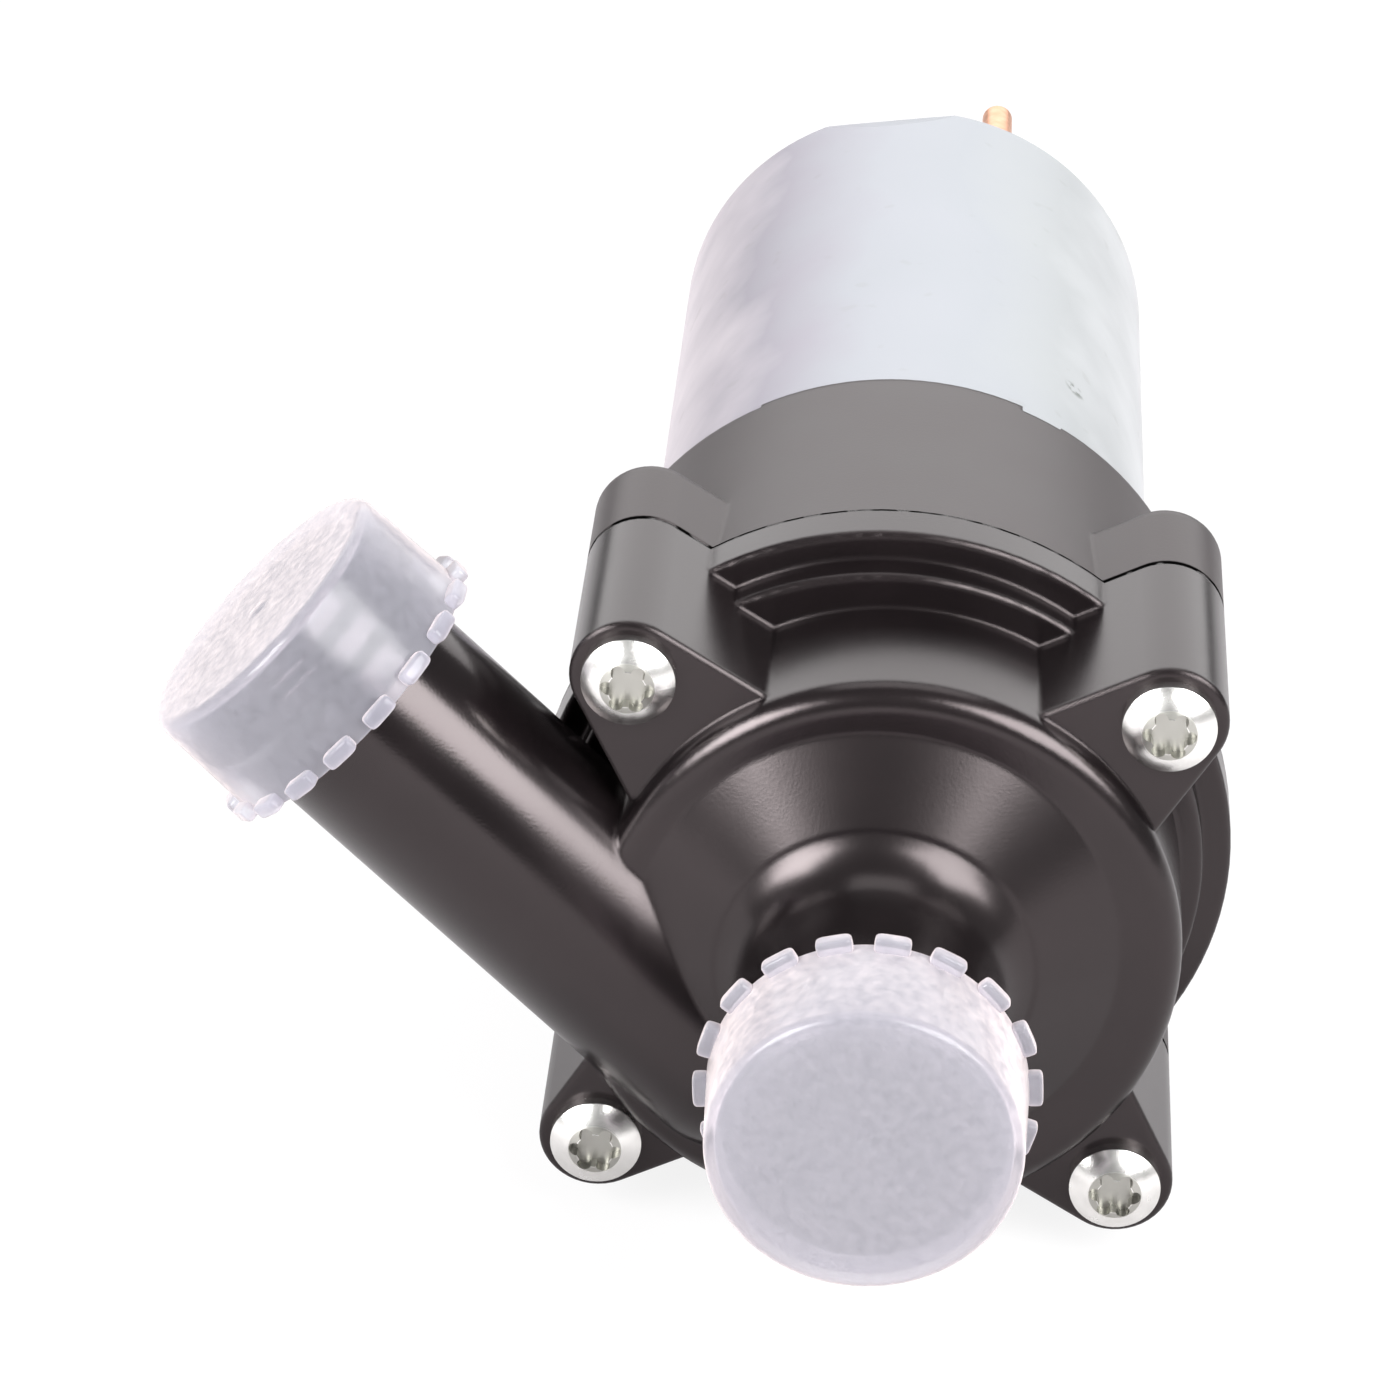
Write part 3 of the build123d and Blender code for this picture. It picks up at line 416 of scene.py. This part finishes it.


# Zinc-plated steel screws, plated in a barrel: bright, with small waves in the surface, so that they glint in
# patches. The recess is painted greyer, as painted shade, and is made duller
def zinc_screw():
    """A place counts as recess within its radius of the nearest screw's axis and below the head's top. The
    four axes stand square round the pump's, so the size of X and of Z alone gives the distance."""
    material, tree = start_material("zinc_plated_screw_bright")
    place = add(tree, "TexCoord").outputs["Object"]
    folded = add(tree, "VectorMath", {0: place}, operation="ABSOLUTE")
    axis = (SCREW_AXIS * MM, 0.0, SCREW_AXIS * MM)
    from_screw = add(tree, "VectorMath", {0: folded, 1: axis}, operation="SUBTRACT")
    off_axis = add(tree, "VectorMath", {0: from_screw, 1: (1.0, 0.0, 1.0)}, operation="MULTIPLY")
    inside = add(tree, "MapRange", {
        "Value": add(tree, "VectorMath", {0: off_axis}, operation="LENGTH").outputs["Value"],
        "From Min": (RECESS_RADIUS - RECESS_FADE) * MM,
        "From Max": RECESS_RADIUS * MM,
        "To Min": 1.0,
        "To Max": 0.0,
    }, interpolation_type="SMOOTHSTEP")
    y = add(tree, "SeparateXYZ", {0: place}).outputs["Y"]
    sunk = add(tree, "Math", {0: y, 1: HEAD_TOP_Y * MM}, operation="GREATER_THAN")
    recess = add(tree, "Math", {0: inside, 1: sunk}, operation="MULTIPLY")

    patches = add(tree, "TexNoise", {"Vector": place, "Scale": noise_scale(SCREW_PATCH), "Detail": FINE})
    bright = add(tree, "ValToRGB", {"Fac": patches}, stops=tuple(zip(COLOUR_STOPS, SCREW_COLOURS)))
    # Painted shade: the recess is greyer than the rest of the head
    colour = add(tree, "Mix", {0: recess, 6: bright, 7: linear(RECESS_SHADE_COLOUR)}, data_type="RGBA").outputs[2]
    gloss = add(tree, "MapRange", {"Value": patches, "To Min": SCREW_ROUGH[0], "To Max": SCREW_ROUGH[1]})
    waves = add(tree, "TexNoise", {"Vector": place, "Scale": noise_scale(SCREW_WAVE), "Detail": FINE})
    zinc = add(tree, "BsdfPrincipled", {
        "Base Color": colour,
        "Metallic": 1.0,
        "Roughness": add(
            tree, "Math", {0: recess, 1: RECESS_ROUGHER, 2: gloss}, operation="MULTIPLY_ADD"
        ),
        "Normal": add(tree, "Bump", {
            "Height": waves,
            "Strength": PLATING_STRENGTH,
            "Distance": SCREW_WAVE_DEPTH * MM,
        }),
    })
    add(tree, "OutputMaterial", {"Surface": zinc})
    return material


# Low-density polythene, moulded thin: milky, with a waxy gloss. Black behind a flat wall looks a soft grey,
# and edges, where the way through the wall is long, look white. The milk's colour adds painted shade face-on
# and painted sheen at the edges
def milky_polythene():
    """The share of milk is one less what gets straight through: the wall's clear share to the power of the
    way through, which grows as the wall turns away. Clouds make it more or less. Milk scatters light and lets
    some of it through, and what lies behind the rest looks a little blurred. The outlet's cap is clearer."""
    material, tree = start_material("polythene_milky")
    place = add(tree, "TexCoord").outputs["Object"]
    facing = add(tree, "LayerWeight", {"Blend": 0.5}).outputs["Facing"]
    slant = add(tree, "Math", {0: 1.0, 1: facing}, operation="SUBTRACT")
    slant = add(tree, "Math", {0: slant, 1: STEEPEST_SLANT}, operation="MAXIMUM")
    way_through = add(tree, "Math", {0: slant, 1: SLANT_POWER}, operation="POWER")
    x = add(tree, "SeparateXYZ", {0: place}).outputs["X"]
    clear = add(tree, "MapRange", {
        "Value": x,
        "From Min": PIPE_START[0] * MM,
        "From Max": PIPE_START[1] * MM,
        "To Min": CAP_CLEAR + OUTLET_CAP_CLEARER,
        "To Max": CAP_CLEAR,
    }, interpolation_type="SMOOTHSTEP")
    let_through = add(tree, "Math", {0: clear, 1: way_through}, operation="POWER")
    even = add(tree, "Math", {0: 1.0, 1: let_through}, operation="SUBTRACT")

    wide = add(tree, "TexNoise", {"Vector": place, "Scale": noise_scale(WIDE_CLOUD), "Detail": FINE})
    wide = add(tree, "Math", {0: wide, 1: WIDE_CLOUD_SHARE}, operation="MULTIPLY")
    small = add(tree, "TexNoise", {"Vector": place, "Scale": noise_scale(MILK_CLOUD), "Detail": SOME})
    clouds = add(tree, "Math", {0: small, 1: MILK_CLOUD_SHARE, 2: wide}, operation="MULTIPLY_ADD")
    mottled = add(tree, "MapRange", {"Value": clouds, "To Min": MILK_RANGE[0], "To Max": MILK_RANGE[1]})
    milk = add(tree, "Math", {0: even, 1: mottled}, operation="MULTIPLY", use_clamp=True)

    # The milk's own colour is painted by facing: greyer where the wall faces the eye, as painted shade, and
    # whiter towards the edges, as painted sheen
    tint_and_painted_light = add(tree, "ValToRGB", {"Fac": milk}, stops=MILK_TINTS_AND_PAINTED_LIGHT)
    scatter = add(tree, "MixShader", {
        0: LIGHT_THROUGH_MILK,
        1: add(tree, "BsdfDiffuse", {"Color": tint_and_painted_light}),
        2: add(tree, "BsdfTranslucent", {"Color": tint_and_painted_light}),
    })
    # The eye sees the rest blurred, while light and shadows pass straight through
    haze = {"Color": linear(CLEAR_TINT), "Roughness": HAZE_ROUGH, "IOR": HAZE_IOR}
    see_through = add(tree, "MixShader", {
        0: add(tree, "LightPath").outputs["Is Camera Ray"],
        1: add(tree, "BsdfTransparent", {"Color": linear(CLEAR_TINT)}),
        2: add(tree, "BsdfRefraction", haze),
    })
    wall = add(tree, "MixShader", {0: milk, 1: see_through, 2: scatter})

    mirror = add(tree, "Fresnel", {"IOR": POLYTHENE_IOR})
    inside = add(tree, "NewGeometry").outputs["Backfacing"]
    outside = add(tree, "Math", {0: inside, 1: -WAX_SHARE, 2: WAX_SHARE}, operation="MULTIPLY_ADD")
    patches = add(tree, "TexNoise", {"Vector": place, "Scale": noise_scale(WAX_PATCH), "Detail": FINE})
    waves = add(tree, "TexNoise", {"Vector": place, "Scale": noise_scale(WAX_WAVE), "Detail": PLAIN})
    gloss = add(tree, "MapRange", {"Value": patches, "To Min": WAX_ROUGH[0], "To Max": WAX_ROUGH[1]})
    wax = add(tree, "BsdfAnisotropic", {
        "Roughness": gloss,
        "Normal": add(tree, "Bump", {
            "Height": waves,
            "Strength": WAX_WAVE_STRENGTH,
            "Distance": WAX_WAVE_DEPTH * MM,
        }),
    })
    coated = add(tree, "MixShader", {
        0: add(tree, "Math", {0: mirror, 1: outside}, operation="MULTIPLY"),
        1: wall,
        2: wax,
    })
    add(tree, "OutputMaterial", {"Surface": coated})
    return material


def inner_finish(name, dark, light, patch_mm, rough, metal=0.0):
    """A finish that drifts between two close colours in patches, with a fine grain in its surface. Rough is
    its least and greatest roughness."""
    material, tree = start_material(name)
    place = add(tree, "TexCoord").outputs["Object"]
    patches = add(tree, "TexNoise", {"Vector": place, "Scale": noise_scale(patch_mm), "Detail": FINE})
    grain = add(tree, "TexNoise", {"Vector": place, "Scale": noise_scale(INNER_GRAIN), "Detail": FINE})
    finish = add(tree, "BsdfPrincipled", {
        "Base Color": add(tree, "ValToRGB", {"Fac": patches}, stops=tuple(zip(COLOUR_STOPS, (dark, light)))),
        "Metallic": metal,
        "Roughness": add(tree, "MapRange", {"Value": patches, "To Min": rough[0], "To Max": rough[1]}),
        "Normal": add(tree, "Bump", {
            "Height": grain,
            "Strength": INNER_GRAIN_STRENGTH,
            "Distance": INNER_GRAIN_DEPTH * MM,
        }),
    })
    add(tree, "OutputMaterial", {"Surface": finish})
    return material


finishes = {
    # Each finish is named for the real material, and what it gives the eye stands with it here or above
    "casing_nylon": moulded_nylon("glass_filled_nylon_satin", "0e0b0c", "141011", (0.19, 0.24)),
    "adapter_nylon": moulded_nylon("glass_filled_nylon_matt", "1c1718", "231d1e", (0.34, 0.4)),
    "zinc_steel": zinc_can(),
    "zinc_screw": zinc_screw(),
    "cap_polythene": milky_polythene(),
    # Moulded rubber: black, with a dull soft sheen
    "seal_rubber": inner_finish("nitrile_rubber", "111111", "181818", 2.0, (0.5, 0.6)),
    # Unfilled engineering plastic as moulded: a flat tan, half glossy
    "impeller_plastic": inner_finish("polyphenylene_sulphide", "8a7f66", "978b70", 4.0, (0.4, 0.5)),
    # Pressed and fired magnet: a dead charcoal grey, like dark stone
    "ferrite": inner_finish("sintered_ferrite", "2b2b2e", "35353a", 3.0, (0.5, 0.65)),
    # Pressed carbon: near black, with small duller patches
    "carbon": inner_finish("pressed_carbon", "1b1b1d", "26262a", 1.5, (0.5, 0.6)),
    # Ground stainless steel: a clean bright grey that mirrors what is near
    "stainless": inner_finish("ground_stainless", "a8a8a8", "b6b6b6", 3.0, (0.2, 0.3), metal=1.0),
    # Ground ceramic: an ivory white with a hard gloss
    "ceramic": inner_finish("alumina_ceramic", "dedbd2", "ebe8df", 3.0, (0.2, 0.3)),
    # Turned mild steel: a mid grey metal with a soft shine
    "drive_steel": inner_finish("turned_steel", "8d8d90", "9c9ca0", 3.0, (0.25, 0.35), metal=1.0),
    # Sintered, oiled bronze: a dull gold with fine mottling
    "bronze": inner_finish("sintered_bronze", "a37a45", "b58b53", 1.0, (0.4, 0.5), metal=1.0),
    # Stamped, varnished laminations: a dark grey metal with little shine
    "core_steel": inner_finish("laminated_steel", "5d5d61", "6c6c71", 2.0, (0.4, 0.5), metal=1.0),
    # Bare copper, hardly tarnished: a pale salmon metal
    "copper": inner_finish("bare_copper", "d49a78", "e8b394", 1.0, (0.3, 0.42), metal=1.0),
    # Phenolic paper laminate: a warm dull brown
    "washer_plastic": inner_finish("phenolic_laminate", "5b3a22", "6b462b", 2.0, (0.5, 0.6)),
    # Phenolic moulding: a dark red-brown, slightly glossy
    "holder_plastic": inner_finish("phenolic_moulding", "4c2b1c", "5a3524", 3.0, (0.45, 0.55)),
}
for part in frame["record"]["subparts"]:
    carried = nodes[part["node"]]
    carried.data.materials.clear()
    carried.data.materials.append(finishes[part["material_slot"]])


def smooth_piece(name, points, faces, body, material_slot):
    """A shown piece with smooth faces, from points in millimetres, that moves with a CAD body."""
    mesh = bpy.data.meshes.new(name)
    mesh.from_pydata((np.asarray(points) * MM).tolist(), [], faces)
    mesh.polygons.foreach_set("use_smooth", [True] * len(mesh.polygons))
    mesh.materials.append(finishes[material_slot])
    piece = bpy.data.objects.new(name, mesh)
    bpy.context.scene.collection.objects.link(piece)
    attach(piece, body)
    return piece


def closed_surface(start, rings, end):
    """Points and faces of a surface closed at both ends. Rings is a grid of points by ring and by turn:
    squares join each ring to the next, and triangles join the first ring to the start and the last to the
    end."""
    count, turns = rings.shape[:2]
    points = np.vstack((start, rings.reshape(-1, 3), end))
    last = len(points) - 1
    here = np.arange(turns)
    beside = (here + 1) % turns
    near = 1 + turns * np.arange(count - 1)[:, None]
    far = near + turns
    squares = np.stack((near + here, near + beside, far + beside, far + here), axis=-1)
    at_start = np.column_stack((0 * here, 1 + beside, 1 + here))
    at_end = np.column_stack((last - turns + here, last - turns + beside, last + 0 * here))
    return points, at_start.tolist() + squares.reshape(-1, 4).tolist() + at_end.tolist()


def turned_surface(profile, turns):
    """Points and faces of a surface of revolution about Z: x = r cos a and y = r sin a, for each radius r and
    height z of the profile and each angle a. The profile starts and ends on the axis."""
    radius, height = np.array(profile, float).T[:, 1:-1, None]
    angle = np.arange(turns) * 2 * np.pi / turns
    grid = np.broadcast_arrays(radius * np.cos(angle), radius * np.sin(angle), height)
    return closed_surface((0, 0, profile[0][1]), np.stack(grid, axis=-1), (0, 0, profile[-1][1]))


def rounded_corner(before, corner, after, radius):
    """Points of the arc, tangent to both lines, that rounds a corner of a profile. They turn about the arc's
    centre at an even rate, from the point on the first line to the one on the second."""
    before, corner, after = (np.array(p, float) for p in (before, corner, after))
    back, on = before - corner, after - corner
    back, on = back / np.linalg.norm(back), on / np.linalg.norm(on)
    half = np.arccos(np.clip(back @ on, -1, 1)) / 2
    middle = (back + on) / np.linalg.norm(back + on)
    centre = corner + middle * radius / np.sin(half)
    reach = radius / np.tan(half)
    first, final = corner + back * reach - centre, corner + on * reach - centre
    sweep = np.pi - 2 * half
    turn = np.linspace(0, sweep, CORNER_POINTS)[:, None]
    arc = centre + (np.sin(sweep - turn) * first + np.sin(turn) * final) / np.sin(sweep)
    return arc.tolist()


def cap_profile():
    """Radius and depth round a cap's wall: the face with its low gate dot, a rounded edge, the flared
    skirt, the rounded mouth, and back along the inside. The dot's height falls off as the exponential of
    minus a high power of the radius, so that it has a flat top and a steep side."""
    edge, mouth = (CAP_RADIUS, 0.0), (CAP_MOUTH_RADIUS, CAP_LENGTH)
    inner_mouth = (CAP_MOUTH_RADIUS - CAP_WALL, CAP_LENGTH)
    inner_edge = (CAP_RADIUS - CAP_WALL, CAP_FACE_THICKNESS)
    inner_middle = (0.0, CAP_FACE_THICKNESS)
    gate = np.linspace(0, GATE_REACH, GATE_POINTS)
    gate_height = GATE_HEIGHT * np.exp(-((gate / GATE_RADIUS) ** GATE_STEEPNESS))
    profile = np.column_stack((gate, -gate_height)).tolist()
    profile += [(radius, 0.0) for radius in np.linspace(FACE_START, FACE_END, FACE_POINTS)]
    profile += rounded_corner((0.0, 0.0), edge, mouth, CAP_EDGE_RADIUS)
    profile += rounded_corner(edge, mouth, inner_mouth, CAP_MOUTH_EDGE_RADIUS)
    profile += rounded_corner(mouth, inner_mouth, inner_edge, CAP_MOUTH_EDGE_RADIUS)
    profile += rounded_corner(inner_mouth, inner_edge, inner_middle, CAP_MOUTH_EDGE_RADIUS)
    return profile + [inner_middle]


def squared_off(wave):
    """A cosine or sine raised to a small power with its sign kept, so that it stays near 1 for longer."""
    return np.sign(wave) * np.abs(wave) ** (2.0 / LUG_SQUARENESS)


def lug_surface():
    """Points and faces of one lug, a squared-off ellipsoid with nearly flat sides and round edges:
    x = cos a cos b, y = sin a cos b and z = sin b times its half sizes, each wave squared off."""
    across, up = LUG_STEPS
    turn = np.arange(across) * 2 * np.pi / across
    lift = (np.arange(1, up)[:, None] / up - 0.5) * np.pi
    flat = squared_off(np.cos(lift))
    grid = np.broadcast_arrays(
        squared_off(np.cos(turn)) * flat, squared_off(np.sin(turn)) * flat, squared_off(np.sin(lift))
    )
    top = LUG_HALF_SIZE[2]
    return closed_surface((0, 0, -top), np.stack(grid, axis=-1) * LUG_HALF_SIZE, (0, 0, top))


def lug_ring():
    """Points and faces of the lugs: one lug turned about the cap's axis by even shares of a full turn."""
    lug, lug_faces = lug_surface()
    turn = LUG_TURN + np.arange(LUG_COUNT)[:, None] * 2 * np.pi / LUG_COUNT
    x, y, z = (lug + (LUG_MIDDLE_RADIUS, 0, CAP_LENGTH - LUG_HALF_SIZE[2])).T
    grid = np.broadcast_arrays(x * np.cos(turn) - y * np.sin(turn), x * np.sin(turn) + y * np.cos(turn), z)
    starts = [i * len(lug) for i in range(LUG_COUNT)]
    faces = [[start + corner for corner in face] for start in starts for face in lug_faces]
    return np.stack(grid, axis=-1).reshape(-1, 3), faces


def port_cap(node, face_centre, across, inwards):
    """A transport cap and its lugs in place of the CAD one. Across and inwards are unit vectors of the
    cap's own X and Z in the pump's frame."""
    inwards, across = np.array(inwards, float), np.array(across, float)
    frame_of_cap = np.column_stack((across, np.cross(inwards, across), inwards))
    surfaces = {"cup": turned_surface(cap_profile(), CAP_TURNS), "lugs": lug_ring()}
    for name, (points, faces) in surfaces.items():
        placed = points @ frame_of_cap.T + np.array(face_centre)
        piece = smooth_piece(f"{node}_{name}", placed, faces, node, "cap_polythene")
        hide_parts(node)


def port_caps():
    """The two caps: one square to the pump's axis, one square to the outlet's."""
    inlet_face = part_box("inlet_cap")[0].y / MM
    port_cap("inlet_cap", (0.0, inlet_face, 0.0), (1, 0, 0), (0, 1, 0))
    outlet = next(mount for mount in frame["record"]["mounts"] if mount["name"] == "outlet_port")
    way_out = np.array(outlet["axis"])
    face = np.array(outlet["pos_m"]) / MM + way_out * OUTLET_FACE_PAST_MOUNT
    port_cap("outlet_cap", face, (0, 1, 0), -way_out)


def place_camera():
    """Stands the camera where the photograph was taken from: turned, dipped, then rolled about its axis."""
    lens = bpy.data.cameras.new("camera")
    lens.sensor_width = SENSOR_WIDTH
    lens.lens = CAMERA_LENS
    lens.shift_x, lens.shift_y = CAMERA_SHIFT
    lens.clip_start = CAMERA_NEAR
    ahead = Vector((
        math.sin(CAMERA_TURN) * math.cos(CAMERA_DIP),
        math.cos(CAMERA_TURN) * math.cos(CAMERA_DIP),
        -math.sin(CAMERA_DIP),
    ))
    level = ahead.cross(Vector((0, 0, 1))).normalized()
    upright = level.cross(ahead)
    right = level * math.cos(CAMERA_ROLL) + upright * math.sin(CAMERA_ROLL)
    up = upright * math.cos(CAMERA_ROLL) - level * math.sin(CAMERA_ROLL)
    camera = bpy.data.objects.new("camera", lens)
    turn = Matrix((right, up, -ahead)).transposed().to_4x4()
    camera.matrix_world = Matrix.Translation(CAMERA_PLACE) @ turn
    bpy.context.scene.collection.objects.link(camera)
    bpy.context.scene.camera = camera


def place_lamps():
    """Soft rectangular lamps that face the pump's middle."""
    for name, place, width, height, power in LAMPS:
        lamp = bpy.data.lights.new(name, "AREA")
        lamp.shape = "RECTANGLE"
        lamp.size, lamp.size_y = width, height
        lamp.energy = power
        stand = bpy.data.objects.new(name, lamp)
        stand.location = place
        facing = Vector(PUMP_CENTRE) - Vector(place)
        stand.rotation_euler = facing.to_track_quat("-Z", "Y").to_euler()
        bpy.context.scene.collection.objects.link(stand)


def seen_directly(tree):
    """1 where a ray comes straight from the camera or through a clear part, and 0 for light on things."""
    path = add(tree, "LightPath").outputs
    return add(tree, "Math", {0: path["Is Camera Ray"], 1: path["Is Transmission Ray"]}, operation="MAXIMUM")


def white_world():
    """An even white sky, full white where it is seen."""
    world = bpy.data.worlds.new("studio")
    world.use_nodes = True
    tree = world.node_tree
    tree.nodes.clear()
    strength = add(tree, "MapRange", {
        "Value": seen_directly(tree),
        "To Min": WORLD_STRENGTH,
        "To Max": WORLD_STRENGTH_SEEN,
    })
    sky = add(tree, "Background", {"Color": WHITE, "Strength": strength})
    add(tree, "OutputWorld", {"Surface": sky})
    bpy.context.scene.world = world


def white_floor():
    """A wide pale floor under the pump's lowest point, in matt studio paint. Part of its light is its own to
    the eye, so that it meets the white sky, and it still takes the pump's shadow."""
    half = FLOOR_SIZE / 2
    height = cad_low.z - FLOOR_GAP
    mesh = bpy.data.meshes.new("floor")
    corners = [(x, y, height) for x, y in ((-half, -half), (half, -half), (half, half), (-half, half))]
    mesh.from_pydata(corners, [], [(0, 1, 2, 3)])
    floor = bpy.data.objects.new("floor", mesh)
    bpy.context.scene.collection.objects.link(floor)
    material, tree = start_material("painted_studio_floor")
    finish = add(tree, "MixShader", {
        0: add(tree, "Math", {0: seen_directly(tree), 1: FLOOR_GLOW_SHARE}, operation="MULTIPLY"),
        1: add(tree, "BsdfDiffuse", {"Color": linear(FLOOR_PAINT)}),
        2: add(tree, "Emission", {"Color": WHITE, "Strength": FLOOR_GLOW}),
    })
    add(tree, "OutputMaterial", {"Surface": finish})
    floor.data.materials.append(material)


port_caps()
place_camera()
place_lamps()
white_world()
white_floor()
bpy.context.scene.view_settings.view_transform = "Standard"
